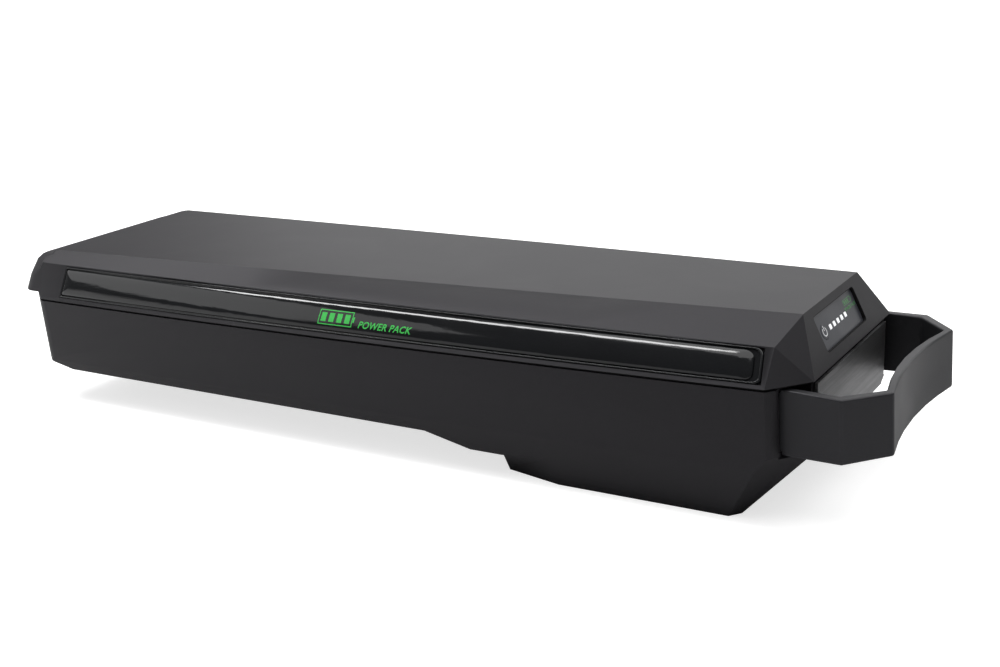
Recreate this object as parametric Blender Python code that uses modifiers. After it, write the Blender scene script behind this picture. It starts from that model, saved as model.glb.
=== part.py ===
# Rack battery pack: a two-part housing with a carry loop, a charge display, side
# trims, a discharge socket and the cells, trays and electronics inside it.
# The frame: X runs along the pack with the carry loop at +X, Z is up, and the
# origin is on the floor under the middle of the pack.
import bpy
import bmesh
import math
from mathutils import Matrix, Vector

MM = 0.001

# Stations along the pack
LIP_X = -232.4 * MM
CASE_FRONT_X = -221.6 * MM
TOP_FRONT_X = -211.0 * MM
CORNER_X = 191.6 * MM
TOP_REAR_X = 196.0 * MM
POCKET_X = 194.7 * MM
REAR_X = 205.4 * MM
PLATE_X = 204.3 * MM

# Half widths
SEAM_Y = 58.6 * MM
SEAM_BOW = 3.2 * MM
REAR_Y = 44.0 * MM
POCKET_Y = 42.3 * MM

# Heights
SEAM_Z = 56.0 * MM
SEAM_GAP = 1.0 * MM
TOP_FRONT_Z = 80.8 * MM
TOP_REAR_Z = 77.15 * MM
FLOOR_Z = 16.9 * MM
STEP_Z = 10.8 * MM
LIP_Z = 60.1 * MM

WALL = 2.6 * MM
GAP = 0.3 * MM

# Cells
CELL_RADIUS = 9.2 * MM
CELL_LENGTH = 65.2 * MM
CELL_PITCH = 18.7 * MM
BANK_PITCH = 67.0 * MM
BANKS_ALONG = 5
BANK_MID_X = 8.0 * MM
LAYER_Z = (30.4 * MM, 49.2 * MM)

# Display: the sloped rear face, measured down the slope from its top edge
DISPLAY_NEAR = -23.9 * MM
DISPLAY_FAR = 20.1 * MM
DISPLAY_TOP = 3.2 * MM
DISPLAY_BOTTOM = 18.1 * MM
DISPLAY_MID = 11.0 * MM
RECESS = 2.2 * MM
LABEL_LEVEL = -1.45 * MM
WINDOW_Y = (-10.2 * MM, -6.05 * MM, -1.9 * MM, 2.25 * MM, 6.4 * MM)
WINDOW_WIDE = 2.3 * MM
WINDOW_HIGH = 2.0 * MM
BUTTON_Y = -17.0 * MM
BUTTON_RADIUS = 3.0 * MM
BUTTON_TRAVEL = 0.5 * MM

for old in list(bpy.data.objects):
    bpy.data.objects.remove(old, do_unlink=True)

scene = bpy.context.scene
pack_parts = bpy.data.collections.new("rack_battery_pack")
pack_cutters = bpy.data.collections.new("cutters")
scene.collection.children.link(pack_parts)
scene.collection.children.link(pack_cutters)

materials = {}


def material(name, colour, roughness, metallic=0.0):
    if name not in materials:
        mat = bpy.data.materials.new(name)
        mat.use_nodes = True
        bsdf = mat.node_tree.nodes["Principled BSDF"]
        bsdf.inputs["Base Color"].default_value = (*colour, 1.0)
        bsdf.inputs["Roughness"].default_value = roughness
        bsdf.inputs["Metallic"].default_value = metallic
        mat.diffuse_color = (*colour, 1.0)
        materials[name] = mat
    return materials[name]


def link(obj, collection=pack_parts):
    for holder in list(obj.users_collection):
        holder.objects.unlink(obj)
    collection.objects.link(obj)
    return obj


def as_cutter(obj):
    obj.hide_render = True
    obj.display_type = "WIRE"
    return link(obj, pack_cutters)


def settle(obj):
    # replaces the object's mesh by its evaluated one and drops its modifiers
    graph = bpy.context.evaluated_depsgraph_get()
    graph.update()
    mesh = bpy.data.meshes.new_from_object(obj.evaluated_get(graph))
    work = bmesh.new()
    work.from_mesh(mesh)
    bmesh.ops.remove_doubles(work, verts=work.verts, dist=0.000002)
    bmesh.ops.recalc_face_normals(work, faces=work.faces)
    work.to_mesh(mesh)
    work.free()
    if obj.type == "MESH":
        obj.modifiers.clear()
        obj.data = mesh
        return obj
    solid = bpy.data.objects.new(obj.name, mesh)
    solid.matrix_world = obj.matrix_world.copy()
    holder = obj.users_collection[0]
    name = obj.name
    bpy.data.objects.remove(obj, do_unlink=True)
    solid.name = name
    holder.objects.link(solid)
    return solid


def box(name, low, high):
    work = bmesh.new()
    bmesh.ops.create_cube(work, size=1.0)
    size = [h - l for l, h in zip(low, high)]
    mid = [(h + l) / 2 for l, h in zip(low, high)]
    bmesh.ops.scale(work, vec=size, verts=work.verts)
    bmesh.ops.translate(work, vec=mid, verts=work.verts)
    mesh = bpy.data.meshes.new(name)
    work.to_mesh(mesh)
    work.free()
    return link(bpy.data.objects.new(name, mesh))


def rod(name, radius, start, end, sides=16, end_radius=None):
    start = Vector(start)
    end = Vector(end)
    along = end - start
    work = bmesh.new()
    bmesh.ops.create_cone(
        work,
        cap_ends=True,
        segments=sides,
        radius1=radius,
        radius2=radius if end_radius is None else end_radius,
        depth=along.length,
    )
    turn = along.to_track_quat("Z", "Y").to_matrix().to_4x4()
    place = Matrix.Translation((start + end) / 2) @ turn
    bmesh.ops.transform(work, matrix=place, verts=work.verts)
    mesh = bpy.data.meshes.new(name)
    work.to_mesh(mesh)
    work.free()
    return link(bpy.data.objects.new(name, mesh))


AXES = {
    "Z": Matrix.Identity(4),
    "Y": Matrix(((1, 0, 0, 0), (0, 0, -1, 0), (0, 1, 0, 0), (0, 0, 0, 1))),
    "X": Matrix(((0, 0, 1, 0), (1, 0, 0, 0), (0, 1, 0, 0), (0, 0, 0, 1))),
}


def prism(name, outline, low, high, axis="Z", holes=()):
    # a filled 2D curve given a thickness along one axis; an outline along Y is
    # in X and Z, and one along X is in Y and Z
    curve = bpy.data.curves.new(name, "CURVE")
    curve.dimensions = "2D"
    curve.fill_mode = "BOTH"
    curve.extrude = (high - low) / 2
    for loop in (outline, *holes):
        spline = curve.splines.new("POLY")
        spline.points.add(len(loop) - 1)
        for point, (u, v) in zip(spline.points, loop):
            point.co = (u, v, 0.0, 1.0)
        spline.use_cyclic_u = True
    obj = link(bpy.data.objects.new(name, curve))
    solid = settle(obj)
    middle = (low + high) / 2
    if axis == "Y":
        middle = -middle
    place = AXES[axis] @ Matrix.Translation((0, 0, middle))
    solid.data.transform(place)
    return solid


def combine(obj, tool, operation="DIFFERENCE"):
    cut = obj.modifiers.new(tool.name, "BOOLEAN")
    cut.operation = operation
    cut.solver = "EXACT"
    cut.object = tool
    as_cutter(tool)
    settle(obj)
    bpy.data.objects.remove(tool, do_unlink=True)
    return obj


def bevel(obj, width, segments=2, angle=30.0):
    edge = obj.modifiers.new("rounded edges", "BEVEL")
    edge.width = width
    edge.segments = segments
    edge.limit_method = "ANGLE"
    edge.angle_limit = math.radians(angle)
    edge.use_clamp_overlap = True
    return settle(obj)


def loft(name, rings):
    # a skin over sections that differ from one end to the other
    work = bmesh.new()
    rows = [[work.verts.new(p) for p in ring] for ring in rings]
    count = len(rows[0])
    for row, following in zip(rows, rows[1:]):
        for i in range(count):
            j = (i + 1) % count
            work.faces.new((row[i], row[j], following[j], following[i]))
    work.faces.new(rows[0])
    work.faces.new(rows[-1])
    bmesh.ops.recalc_face_normals(work, faces=work.faces)
    mesh = bpy.data.meshes.new(name)
    work.to_mesh(mesh)
    work.free()
    return link(bpy.data.objects.new(name, mesh))


def slice_off(obj, a, b, c, inside):
    # cuts the solid along the plane through three points and keeps the side
    # that holds the point `inside`
    a, b, c, inside = Vector(a), Vector(b), Vector(c), Vector(inside)
    normal = (b - a).cross(c - a).normalized()
    if (inside - a).dot(normal) > 0:
        normal = -normal
    work = bmesh.new()
    work.from_mesh(obj.data)
    cut = bmesh.ops.bisect_plane(
        work,
        geom=work.verts[:] + work.edges[:] + work.faces[:],
        dist=0.000001,
        plane_co=a,
        plane_no=normal,
        clear_outer=True,
    )
    rim = [e for e in cut["geom_cut"] if isinstance(e, bmesh.types.BMEdge)]
    bmesh.ops.edgenet_fill(work, edges=rim)
    bmesh.ops.recalc_face_normals(work, faces=work.faces)
    work.to_mesh(obj.data)
    work.free()
    return obj


def finish(obj, name, mat, smooth_angle=32.0):
    obj.name = name
    obj.data.name = name
    obj.data.materials.clear()
    obj.data.materials.append(mat)
    obj.data.shade_smooth()
    obj.data.set_sharp_from_angle(angle=math.radians(smooth_angle))
    link(obj)
    return obj


def bow(x, amount):
    # the sides swell gently towards the middle of the pack
    t = (x + 10.8 * MM) / (202.4 * MM)
    return amount * max(0.0, 1.0 - t * t)


def arc(cx, cy, radius, start, end, steps):
    points = []
    for i in range(steps + 1):
        a = math.radians(start + (end - start) * i / steps)
        points.append((cx + radius * math.cos(a), cy + radius * math.sin(a)))
    return points


def plan_outline(front, inset, corner, rear=None):
    # the plan of the housing at the seam, drawn inwards by `inset`
    half = SEAM_Y - inset
    left = front + inset
    radius = max(corner - inset, 1.0 * MM)
    side = []
    steps = 8
    first = left + radius
    last = CORNER_X - inset * 0.5
    for i in range(1, steps + 1):
        x = first + (last - first) * i / steps
        side.append((x, half + bow(x, SEAM_BOW)))
    tail = rear or [(REAR_X - inset, REAR_Y - inset * 0.4)]
    upper = arc(first, half - radius, radius, 180, 90, 6) + side + tail
    lower = [(x, -y) for x, y in reversed(upper)]
    return upper + lower


# ---------------------------------------------------------------- lower case
def case_solid(name, inset, top):
    if inset:
        notch = [
            (POCKET_X - WALL, 52.0 * MM),
            (POCKET_X - WALL, POCKET_Y - WALL),
            (REAR_X - 6.6 * MM, POCKET_Y - WALL),
        ]
        plan = plan_outline(CASE_FRONT_X, inset, 11.5 * MM, notch)
    else:
        plan = plan_outline(CASE_FRONT_X, 0.0, 11.5 * MM)
    solid = prism(name, plan, -5.0 * MM, top)
    k = inset
    side = [
        (CASE_FRONT_X - 5 * MM + k, 90 * MM),
        (CASE_FRONT_X - 5 * MM + k, 60 * MM),
        (CASE_FRONT_X + k, 54 * MM),
        (CASE_FRONT_X + k, 23.4 * MM + 0.5 * k),
        (-199.6 * MM + 0.4 * k, FLOOR_Z + (k or 1.1 * MM)),
        (32.9 * MM + 0.1 * k, FLOOR_Z + k),
        (55.3 * MM + 0.1 * k, STEP_Z + k),
        (76.0 * MM if k else 72.5 * MM, STEP_Z + k),
        (97.0 * MM if k else 69.0 * MM, k),
        (176.4 * MM - 0.4 * k, 0.0 + k),
        (201.6 * MM - 0.6 * k, 25.4 * MM + 1.0 * k),
        (202.3 * MM - (k + 1.4 * MM if k else 0.0), (29.2 - (3.0 if k else 0.0)) * MM + k),
        (203.2 * MM - (k + 1.6 * MM if k else 0.0), 56 * MM),
        (206.0 * MM - (k + 4.4 * MM if k else 0.0), 90 * MM),
    ]
    profile = prism("side profile", side, -80 * MM, 80 * MM, "Y")
    combine(solid, profile, "INTERSECT")
    half = [
        (66.0 * MM, 90 * MM),
        (66.0 * MM, 58 * MM),
        (62.4 * MM, 54 * MM),
        (58.4 * MM, 23 * MM),
        (51.2 * MM, 0 * MM),
        (51.2 * MM, -6 * MM),
    ]
    half = [(y - (inset if z < 60 * MM else 0.0), z) for y, z in half]
    front = half + [(-y, z) for y, z in reversed(half)]
    combine(solid, prism("cross section", front, -260 * MM, 260 * MM, "X"), "INTERSECT")
    return solid


def corner_wedge(side, inset):
    # the belly's forward corners are cut back on a slant
    near = [
        (71.8 * MM, 54.8 * MM, STEP_Z + 0.4 * MM),
        (99.0 * MM, 56.2 * MM, STEP_Z + 3.6 * MM),
        (68.4 * MM, 45.2 * MM, -0.5 * MM),
        (99.0 * MM, 51.5 * MM, -0.5 * MM),
    ]
    work = bmesh.new()
    for x, y, z in near:
        y = side * (y - inset)
        work.verts.new((x, y, z + inset * 0.5))
        work.verts.new((x - 1.0 * MM, y + side * 18 * MM, z - 9 * MM))
    hull = bmesh.ops.convex_hull(work, input=work.verts)
    inside = [g for g in hull["geom_interior"] if isinstance(g, bmesh.types.BMVert)]
    bmesh.ops.delete(work, geom=inside, context="VERTS")
    bmesh.ops.recalc_face_normals(work, faces=work.faces)
    mesh = bpy.data.meshes.new("corner wedge")
    work.to_mesh(mesh)
    work.free()
    return link(bpy.data.objects.new("corner wedge", mesh))


case = case_solid("lower_case", 0.0, 66 * MM)
hollow = case_solid("hollow", WALL, 90 * MM)
for side in (-1, 1):
    combine(case, corner_wedge(side, 0.0))
    combine(hollow, corner_wedge(side, WALL))
    # the rear corners are cut where they rise to the end wall
    for solid, back in ((case, 0.0), (hollow, 3.0 * MM)):
        slice_off(
            solid,
            (176.4 * MM, side * (46.8 * MM - back), 0),
            (202.2 * MM, side * (43.4 * MM - back), 26.2 * MM),
            (184.6 * MM, side * (57.5 * MM - back), 20.0 * MM),
            (0, 0, 40 * MM),
        )
bevel(case, 2.2 * MM, 2, 24)

combine(case, hollow)
above = box("above the seam", (-260 * MM, -80 * MM, SEAM_Z - SEAM_GAP / 2),
            (260 * MM, 80 * MM, 95 * MM))
combine(case, above)
for side in (-1, 1):
    low_y, high_y = sorted((side * POCKET_Y, side * 80 * MM))
    # the pocket that takes one arm of the carry loop
    pocket = [(194.7, 28.4), (230.0, 28.4), (230.0, 70.0), (194.7, 70.0)]
    pocket = [(x * MM, z * MM) for x, z in pocket]
    combine(case, prism("pocket", pocket, low_y, high_y, "Y"))
    # the slot through which the arm reaches the inside of the case
    low_y, high_y = sorted((side * 48.0 * MM, side * 52.6 * MM))
    slot = box("slot", (POCKET_X - 12 * MM, low_y, 30.4 * MM),
               (POCKET_X + 2 * MM, high_y, 54.0 * MM))
    combine(case, slot)
    for z in (36.5 * MM, 47.5 * MM):
        # posts on the side wall that the arm's screws bite into
        post = rod("post", 3.6 * MM, (184.5 * MM, side * 53.0 * MM, z),
                   (184.5 * MM, side * 57.6 * MM, z), 12)
        combine(case, post, "UNION")
        bore = rod("bore", 1.9 * MM, (184.5 * MM, side * 50.0 * MM, z),
                   (184.5 * MM, side * 56.4 * MM, z), 12)
        combine(case, bore)

# socket opening in the front wall
SOCKET_Z = 38.0 * MM
combine(case, box("socket opening", (CASE_FRONT_X - 5 * MM, -26.3 * MM, SOCKET_Z - 9.3 * MM),
                  (CASE_FRONT_X + 8 * MM, 26.3 * MM, SOCKET_Z + 9.3 * MM)))

# posts that carry the screws holding the cover down, each with a seat below for
# the screw's head
SCREW_SPOTS = [(-205.0, 38.0), (-90.0, 51.3), (20.0, 51.3), (191.0, 33.0)]
SCREW_FLOORS = (19.4, 17.5, 17.0, 14.6)
SCREW_SPOTS = [
    (x * MM, side * y * MM, floor * MM)
    for (x, y), floor in zip(SCREW_SPOTS, SCREW_FLOORS) for side in (-1, 1)
]
for x, y, floor in SCREW_SPOTS:
    post = rod("screw post", 3.3 * MM, (x, y, floor + 1.5 * MM),
               (x, y, SEAM_Z - 1.2 * MM), 14)
    for vert in post.data.vertices:
        # the rearmost posts stand on the end slope, so their feet follow it
        slope = (vert.co.x - 176.4 * MM) * 25.4 / 25.2 + 0.9 * MM
        if vert.co.z < SEAM_Z - 10 * MM and x > 180 * MM:
            vert.co.z = slope
    combine(case, post, "UNION")
    combine(case, rod("screw bore", 1.55 * MM, (x, y, -5 * MM), (x, y, 70 * MM), 12))
    combine(case, rod("head seat", 2.7 * MM, (x, y, -5 * MM), (x, y, floor + 6 * MM), 14))
finish(case, "lower_case", material("case_plastic", (0.052, 0.052, 0.058), 0.46))


# ----------------------------------------------------------------- top cover
def top_z(x):
    t = (x - TOP_FRONT_X) / (TOP_REAR_X - TOP_FRONT_X)
    return TOP_FRONT_Z + (TOP_REAR_Z - TOP_FRONT_Z) * t


def top_y(x):
    t = (x - TOP_FRONT_X) / (TOP_REAR_X - TOP_FRONT_X)
    return (47.2 - 17.2 * t) * MM + bow(x, 1.2 * MM)


def shoulder(x):
    # the line where the upper bevel meets the side wall
    t = (x + 196.0 * MM) / (387.8 * MM)
    return (53.4 - 5.3 * t) * MM + bow(x, 1.5 * MM), (75.1 - 5.6 * t) * MM


def seam_y(x):
    return SEAM_Y + bow(x, SEAM_BOW)


def cover_ring(x, inset, bottom):
    y_shoulder, z_shoulder = shoulder(x)
    half = [
        (seam_y(x) - inset, bottom),
        (seam_y(x) - inset, SEAM_Z),
        (y_shoulder - inset * 0.95, z_shoulder - inset * 0.75),
        (top_y(x) - inset * 0.35, top_z(x) - inset),
    ]
    return [(x, -y, z) for y, z in half] + [(x, y, z) for y, z in reversed(half)]


stations = [-245, -213, -180, -130, -70, -10, 50, 110, 155, 191.8, 225]
cover = loft("top_cover", [cover_ring(x * MM, 0.0, 45 * MM) for x in stations])
side_line = [(207.95, 50.0), (190.2, 90.0), (-245.0, 90.0), (-245.0, 50.0)]
side_line = [(x * MM, z * MM) for x, z in side_line]
combine(cover, prism("cover profile", side_line, -80 * MM, 80 * MM, "Y"), "INTERSECT")

# the front end: height, foremost X, half width and corner radius at each level,
# from the lip up to the small ledge below the top face
FRONT_LEVELS = [
    (40.0, -232.4, 58.8, 13.0), (60.5, -232.4, 57.6, 13.0), (68.0, -229.6, 55.7, 13.0),
    (75.9, -225.4, 52.8, 13.0), (77.4, -223.6, 51.0, 12.0), (78.0, -220.6, 50.4, 10.0),
    (78.5, -213.2, 49.8, 7.0), (80.2, -211.0, 47.9, 5.0), (81.0, -208.6, 47.0, 4.0),
    (95.0, -208.6, 47.0, 4.0),
]
rings = []
for z, front_x, half_y, corner in FRONT_LEVELS:
    ring = arc(front_x + corner, half_y - corner, corner, 180, 90, 6)
    ring += [(-195.0, 75.0), (240.0, 75.0)]
    ring += [(x, -y) for x, y in reversed(ring)]
    rings.append([(x * MM, y * MM, z * MM) for x, y in ring])
combine(cover, loft("cover front", rings), "INTERSECT")
for side in (-1, 1):
    top_corner = (TOP_REAR_X, side * 30.0 * MM, TOP_REAR_Z)
    knee = (191.8 * MM, side * shoulder(191.8 * MM)[0], shoulder(191.8 * MM)[1])
    rear_corner = (REAR_X, side * REAR_Y, SEAM_Z)
    wall_corner = (CORNER_X, side * SEAM_Y, SEAM_Z)
    slice_off(cover, top_corner, knee, rear_corner, (0, 0, 60 * MM))
    slice_off(cover, knee, wall_corner, rear_corner, (0, 0, 60 * MM))
bevel(cover, 0.9 * MM, 2, 12)

# below the lip the cover steps back to the line of the case
step = prism("step", [(-260 * MM, -80 * MM), (-190 * MM, -80 * MM), (-190 * MM, 80 * MM),
                      (-260 * MM, 80 * MM)], 40 * MM, LIP_Z)
kept = prism("kept", plan_outline(CASE_FRONT_X, 0.0, 11.5 * MM), 30 * MM, 70 * MM)
combine(step, kept)
combine(cover, step)
combine(cover, box("below the seam", (-260 * MM, -80 * MM, 30 * MM),
                   (260 * MM, 80 * MM, SEAM_Z + SEAM_GAP / 2)))
inner = [-217, -180, -130, -70, -10, 50, 110, 155, 187]
hollow = loft("cover hollow", [cover_ring(x * MM, 2.8 * MM, 45 * MM) for x in inner])
combine(cover, hollow)

# posts in the cover that the case screws run up into
for x, y, floor in SCREW_SPOTS:
    height = 79 * MM if x < -190 * MM else 67 * MM
    if x < 180 * MM:
        combine(cover, rod("cover post", 3.3 * MM, (x, y, SEAM_Z + 1.2 * MM),
                           (x, y, height), 14), "UNION")
    combine(cover, rod("cover bore", 1.55 * MM, (x, y, 50 * MM), (x, y, 64 * MM), 12))

# The display's own frame: its origin is on the slope's top edge, U runs across
# the pack, V down the slope and W out of it.
slope = Vector((REAR_X - TOP_REAR_X, 0, SEAM_Z - TOP_REAR_Z)).normalized()
outward = Vector((0, 1, 0)).cross(slope).normalized()
if outward.x < 0:
    outward = -outward
DISPLAY_FRAME = Matrix((
    (0.0, slope.x, outward.x, TOP_REAR_X),
    (1.0, slope.y, outward.y, 0.0),
    (0.0, slope.z, outward.z, TOP_REAR_Z),
    (0.0, 0.0, 0.0, 1.0),
))


def display_solid(name, outline, low, high, holes=()):
    solid = prism(name, outline, low, high, "Z", holes)
    solid.data.transform(DISPLAY_FRAME)
    work = bmesh.new()
    work.from_mesh(solid.data)
    bmesh.ops.recalc_face_normals(work, faces=work.faces)
    work.to_mesh(solid.data)
    work.free()
    return solid


def rounded(u0, u1, v0, v1, radius, steps=3):
    points = arc(u1 - radius, v1 - radius, radius, 0, 90, steps)
    points += arc(u0 + radius, v1 - radius, radius, 90, 180, steps)
    points += arc(u0 + radius, v0 + radius, radius, 180, 270, steps)
    points += arc(u1 - radius, v0 + radius, radius, 270, 360, steps)
    return points


def circle(u, v, radius, steps=20):
    return arc(u, v, radius, 0, 360 - 360 / steps, steps - 1)


def window_outline(u, inset):
    wide = WINDOW_WIDE / 2 - inset
    high = WINDOW_HIGH / 2 - inset
    return [(u - wide, DISPLAY_MID - high), (u + wide, DISPLAY_MID - high),
            (u + wide, DISPLAY_MID + high), (u - wide, DISPLAY_MID + high)]


combine(cover, display_solid("display recess", rounded(
    DISPLAY_NEAR, DISPLAY_FAR, DISPLAY_TOP, DISPLAY_BOTTOM, 1.4 * MM),
    -RECESS, 5 * MM))
combine(cover, display_solid("board pocket", rounded(
    DISPLAY_NEAR + 1 * MM, DISPLAY_FAR - 1 * MM, DISPLAY_TOP + 1.0 * MM,
    DISPLAY_BOTTOM - 1.5 * MM, 1.0 * MM), -14 * MM, -3.2 * MM))
combine(cover, display_solid("button hole", circle(
    BUTTON_Y, DISPLAY_MID, BUTTON_RADIUS - 1.0 * MM, 16), -6 * MM, 2 * MM))
for u in WINDOW_Y:
    combine(cover, display_solid("window hole", window_outline(u, 0.05 * MM),
                                 -6 * MM, 2 * MM))


# -------------------------------------------------------------- side trims
def wall_point(x, t, out, side):
    # t runs from the seam up to the shoulder, out is the height off the wall
    y_shoulder, z_shoulder = shoulder(x)
    y_seam = seam_y(x)
    rise = Vector((0, y_shoulder - y_seam, z_shoulder - SEAM_Z))
    away = Vector((0, rise.z, -rise.y)).normalized()
    spot = Vector((x, y_seam, SEAM_Z)) + rise * t + away * out
    return Vector((spot.x, side * spot.y, spot.z))


TRIM_STATIONS = [0.0, 0.03, 0.12, 0.25, 0.38, 0.5, 0.62, 0.75, 0.88, 0.97, 1.0]


def trim_solid(name, side, margin, low, high, crown=0.0):
    # follows the side wall; its front end leans and both ends stay square to it
    rings = []
    for s in TRIM_STATIONS:
        ring = []
        for t, out in trim_section(margin, low, high, crown):
            front = (-198.3 + 5.6 * t) * MM + margin
            rear = (190.3 - 2.0 * t) * MM - margin
            ring.append(wall_point(front + (rear - front) * s, t, out, side))
        rings.append(ring)
    return loft(name, rings)


def trim_section(margin, low, high, crown):
    edge = margin / (17.0 * MM)
    bottom = 0.13 + edge
    top = 0.97 - edge
    steps = 5 if crown else 1
    section = [(bottom, low)]
    for i in range(steps + 1):
        f = i / steps
        lift = crown * (1 - (2 * f - 1) ** 2)
        section.append((bottom + (top - bottom) * f, high + lift))
    section.append((top, low))
    return section


for side, tag in ((-1, "near"), (1, "far")):
    combine(cover, trim_solid("trim recess", side, 0.0, -1.5 * MM, 6 * MM))
    frame = trim_solid("strip_frame_" + tag, side, GAP, -1.2 * MM, 0.5 * MM)
    combine(frame, trim_solid("frame window", side, GAP + 1.9 * MM, -3 * MM, 4 * MM))
    finish(frame, "strip_frame_" + tag, material("trim_frame", (0.03, 0.03, 0.034), 0.3))
    lens = trim_solid("strip_lens_" + tag, side, 2 * GAP + 1.9 * MM, -1.2 * MM,
                      0.2 * MM, 0.9 * MM)
    finish(lens, "strip_lens_" + tag, material("trim_gloss", (0.008, 0.009, 0.011), 0.06))

finish(cover, "top_cover", material("cover_plastic", (0.105, 0.105, 0.112), 0.42))

# --------------------------------------------------------------------- gasket
rim = plan_outline(CASE_FRONT_X, 1.0 * MM, 11.5 * MM)
rim_in = plan_outline(CASE_FRONT_X, 2.4 * MM, 11.5 * MM)
gasket = prism("seam_gasket", rim, SEAM_Z - 0.2 * MM, SEAM_Z + 0.2 * MM, "Z", (rim_in,))
finish(gasket, "seam_gasket", material("gasket_rubber", (0.01, 0.01, 0.01), 0.8))

# ------------------------------------------------------------------ end plate
plate = prism("end_plate", [
    (202.55 * MM, 27.6 * MM), (203.5 * MM, 54.2 * MM),
    (204.7 * MM, 54.2 * MM), (203.75 * MM, 27.6 * MM)], -39.4 * MM, 39.4 * MM, "Y")
for side in (-1, 1):
    slice_off(plate, (204 * MM, side * 39.4 * MM, 31.0 * MM),
              (204 * MM, side * 36.4 * MM, 27.6 * MM),
              (203 * MM, side * 36.4 * MM, 27.6 * MM), (204 * MM, 0, 45 * MM))
finish(plate, "end_plate", material("end_plate_metal", (0.42, 0.43, 0.43), 0.36, 0.85))

# ----------------------------------------------------------------- carry loop
outer_arm = [(196.6, 52.0), (218.1, 53.4), (232.4, 38.4)]
inner_arm = [(228.9, 36.2), (216.4, 48.8), (196.6, 48.4)]
outer_bar = [(228.3 + 4.1 * (y / 38.4) ** 2, y) for y in (26, 14, 0, -14, -26)]
inner_bar = [(224.4 + 4.5 * (y / 36.2) ** 2, y) for y in (-24, -12, 0, 12, 24)]
tab_in = [(181.0, 48.5), (181.0, 52.0)]
outline = tab_in + outer_arm + outer_bar
outline += [(x, -y) for x, y in reversed(tab_in + outer_arm)]
outline += [(x, -y) for x, y in reversed(inner_arm)] + inner_bar + inner_arm
outline = [(x * MM, y * MM) for x, y in outline]
loop = prism("carry_handle", outline, 20 * MM, 60 * MM)
slice_off(loop, (196.6 * MM, 0, 55.0 * MM), (232.5 * MM, 0, 53.7 * MM),
          (196.6 * MM, 9 * MM, 55.0 * MM), (200 * MM, 0, 40 * MM))
slice_off(loop, (196.6 * MM, 0, 28.9 * MM), (232.5 * MM, 0, 29.2 * MM),
          (196.6 * MM, 9 * MM, 28.9 * MM), (200 * MM, 0, 40 * MM))
bevel(loop, 0.9 * MM, 2, 40)
for side in (-1, 1):
    low_y, high_y = sorted((side * 40 * MM, side * 60 * MM))
    for end_x, low_z, high_z in ((195.2 * MM, 15 * MM, 30.8 * MM),
                                 (195.2 * MM, 53.6 * MM, 65 * MM)):
        combine(loop, box("tab trim", (170 * MM, low_y, low_z), (end_x, high_y, high_z)))
    for z in (36.5 * MM, 47.5 * MM):
        combine(loop, rod("tab bore", 2.1 * MM, (184.5 * MM, side * 45 * MM, z),
                          (184.5 * MM, side * 56 * MM, z), 16))
finish(loop, "carry_handle", material("handle_plastic", (0.075, 0.077, 0.083), 0.4))

steel = material("screw_steel", (0.45, 0.45, 0.46), 0.35, 0.9)


def screw(name, head, tip, head_radius, shank_radius, head_height):
    head = Vector(head)
    tip = Vector(tip)
    along = (tip - head).normalized()
    body = rod(name, shank_radius, head + along * head_height * 0.5, tip, 12)
    cap = rod("cap", head_radius, head, head + along * head_height, 16)
    combine(body, cap, "UNION")
    work = bmesh.new()
    bmesh.ops.create_cone(work, cap_ends=True, segments=6, radius1=head_radius * 0.45,
                          radius2=head_radius * 0.45, depth=head_height * 1.2)
    turn = along.to_track_quat("Z", "Y").to_matrix().to_4x4()
    bmesh.ops.transform(work, matrix=Matrix.Translation(head) @ turn, verts=work.verts)
    mesh = bpy.data.meshes.new("drive")
    work.to_mesh(mesh)
    work.free()
    combine(body, link(bpy.data.objects.new("drive", mesh)))
    return finish(body, name, steel)


number = 1
for side in (-1, 1):
    for z in (36.5 * MM, 47.5 * MM):
        screw("handle_screw_%d" % number, (184.5 * MM, side * 45.9 * MM, z),
              (184.5 * MM, side * 55.6 * MM, z), 3.3 * MM, 1.5 * MM, 2.3 * MM)
        number += 1
for number, (x, y, floor) in enumerate(SCREW_SPOTS, 1):
    screw("case_screw_%d" % number, (x, y, floor + 3.7 * MM), (x, y, 63 * MM),
          2.4 * MM, 1.25 * MM, 2.0 * MM)

# -------------------------------------------------------------------- display
label = display_solid("display_label", rounded(
    DISPLAY_NEAR + GAP, DISPLAY_FAR - GAP, DISPLAY_TOP + GAP,
    DISPLAY_BOTTOM - GAP, 1.2 * MM), -RECESS + 0.2 * MM, LABEL_LEVEL,
    [circle(BUTTON_Y, DISPLAY_MID, BUTTON_RADIUS + 0.15 * MM, 24)]
    + [window_outline(u, -0.1 * MM) for u in WINDOW_Y])
finish(label, "display_label", material("label_film", (0.09, 0.092, 0.105), 0.3))
for number, u in enumerate(WINDOW_Y, 1):
    window = display_solid("charge_window_%d" % number, window_outline(u, 0.1 * MM),
                           -RECESS + 0.2 * MM, LABEL_LEVEL + 0.1 * MM)
    stem = display_solid("stem", circle(u, DISPLAY_MID, 0.6 * MM, 8), -4.4 * MM, -1.8 * MM)
    combine(window, stem, "UNION")
    finish(window, "charge_window_%d" % number,
           material("window_white", (0.85, 0.86, 0.86), 0.35))

# the power button, with its origin on the axis it slides along
button = display_solid("power_button", circle(BUTTON_Y, DISPLAY_MID, BUTTON_RADIUS, 24),
                       LABEL_LEVEL - 0.1 * MM, LABEL_LEVEL + 0.25 * MM)
plunger = display_solid("plunger", circle(BUTTON_Y, DISPLAY_MID, 1.6 * MM, 12),
                        -4.2 * MM, LABEL_LEVEL)
combine(button, plunger, "UNION")
button_spot = DISPLAY_FRAME @ Vector((BUTTON_Y, DISPLAY_MID, LABEL_LEVEL + 0.25 * MM))
button.data.transform(Matrix.Translation(-button_spot))
button.location = button_spot
finish(button, "power_button", material("button_film", (0.1, 0.102, 0.115), 0.35))

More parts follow.
